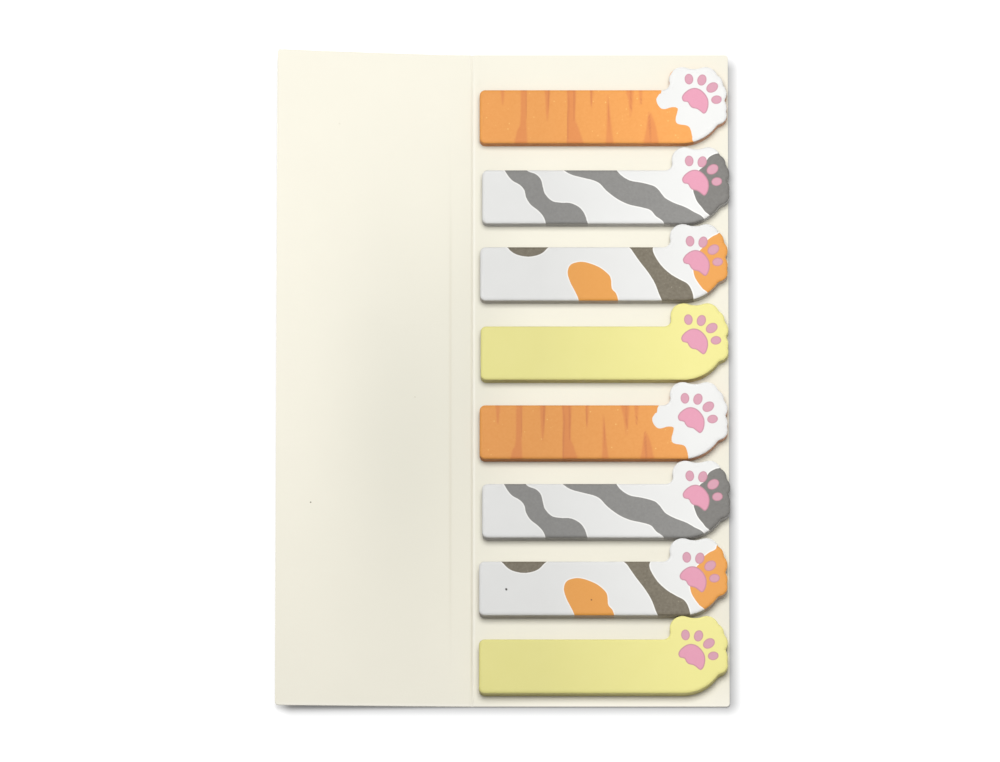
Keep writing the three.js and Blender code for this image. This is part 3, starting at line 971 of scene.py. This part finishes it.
CALICO_HALF_PAW = [
    [(50.2, 15.2), (48.9, 14.5), (47.6, 13.4), (46.9, 12.1), (46.2, 11.3), (44.9, 9.2), (44.8, 7.0),
     (45.1, 5.5), (45.6, 4.5), (46.5, 3.2), (47.6, 2.2), (53, -1), (57, 8), (54, 16), (50.9, 16.4)],
]
PRINTS = {
    "orange": {"coat": TABBY_COAT, "stripes": TABBY_STRIPES, "streaks": TABBY_STREAKS},
    "grey": {"coat": GREY_BANDS, "half_paw": GREY_HALF_PAW},
    "calico": {"coat": CALICO_DARK, "patches": CALICO_ORANGE, "half_paw": CALICO_HALF_PAW},
    "yellow": {},
}

# The darker rim of a bean, and the bare margin round a coat
BEAN_RIM = 0.2
BARE_WIDTH = 0.24
# Painted light: the sheets get lighter by this share over a run from a place along the strip
PAW_LIGHT_RISE = 0.21
PAW_LIGHT_START, PAW_LIGHT_RUN = 12.7, 32


def pad_attributes(paper, points, shift, tone):
    """The depth of each point in each printed shape, and its tone: the pad's own tone, which on the tabby
    is the coat's alone, times painted light that rises from the strip to the paw."""
    flat = points[:, :2] - np.array(shift)
    depths = {"bean_rim": deepest(flat, TOE_BEANS + [PALM_BEAN])}
    depths["bean"] = depths["bean_rim"] - BEAN_RIM
    depths["toe"] = deepest(flat, TOE_BEANS) - BEAN_RIM
    prints = {key: deepest(flat, [smooth_loop(loop) for loop in loops])
              for key, loops in PRINTS[paper].items()}
    if BARE_MARGIN in PAPERS[paper]["inks"]:
        depths["print_rim"] = np.max(list(prints.values()), axis=0) + BARE_WIDTH
    # Painted light, rising from the strip to the paw
    rise = 1 + PAW_LIGHT_RISE * np.clip((points[:, 0] - PAW_LIGHT_START) / PAW_LIGHT_RUN, 0, 1)
    toned = prints["coat"] > 0 if paper == "orange" else True
    return {**depths, **prints, "tone_and_painted_light": np.where(toned, tone, 1) * rise}


def make_pad(node, paper, shift, tone, seed, material):
    """One pad, standing for its node: its rings, set down at the node's low corner and closed above by the
    zipped cap and below by one polygon."""
    low, _ = box_in_mm(node)
    rings, cut = pad_rings(seed)
    points = rings.reshape(-1, 3)
    count = rings.shape[1]
    triangles, paw_cap = top_cap(len(points) - count)
    base_cap = list(range(count))[::-1]
    faces = grid_quads(len(rings), count, closed=True).tolist() + triangles + [paw_cap, base_cap]
    attributes = {"cut_side": cut, **pad_attributes(paper, points, shift, tone)}
    piece = mesh_object(node + "_sheets", points + low, faces, attributes, 50)
    piece.data.materials.append(material)
    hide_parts(node)
    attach(piece, "root")


# The pads, from the top one down: node, paper, how far the print sits off the cut outline, and tone
PADS = [
    ("tab_pad_1_orange", "orange", (0.5, 0.95), 1.02),
    ("tab_pad_2_grey", "grey", (-0.02, 0.56), 1.0),
    ("tab_pad_3_calico", "calico", (0.55, -0.19), 0.97),
    ("tab_pad_4_yellow", "yellow", (0.04, -0.02), 0.98),
    ("tab_pad_5_orange", "orange", (-0.52, 0.03), 0.94),
    ("tab_pad_6_grey", "grey", (-0.06, 0.26), 1.0),
    ("tab_pad_7_calico", "calico", (-0.10, -0.6), 1.0),
    ("tab_pad_8_yellow", "yellow", (-0.41, -0.55), 1.01),
]

make_camera()
make_studio()
make_card()
MATERIALS = {paper: printed_paper(**looks) for paper, looks in PAPERS.items()}
for number, (node_name, paper_name, print_shift, tone_and_painted_light) in enumerate(PADS):
    make_pad(node_name, paper_name, print_shift, tone_and_painted_light, number, MATERIALS[paper_name])
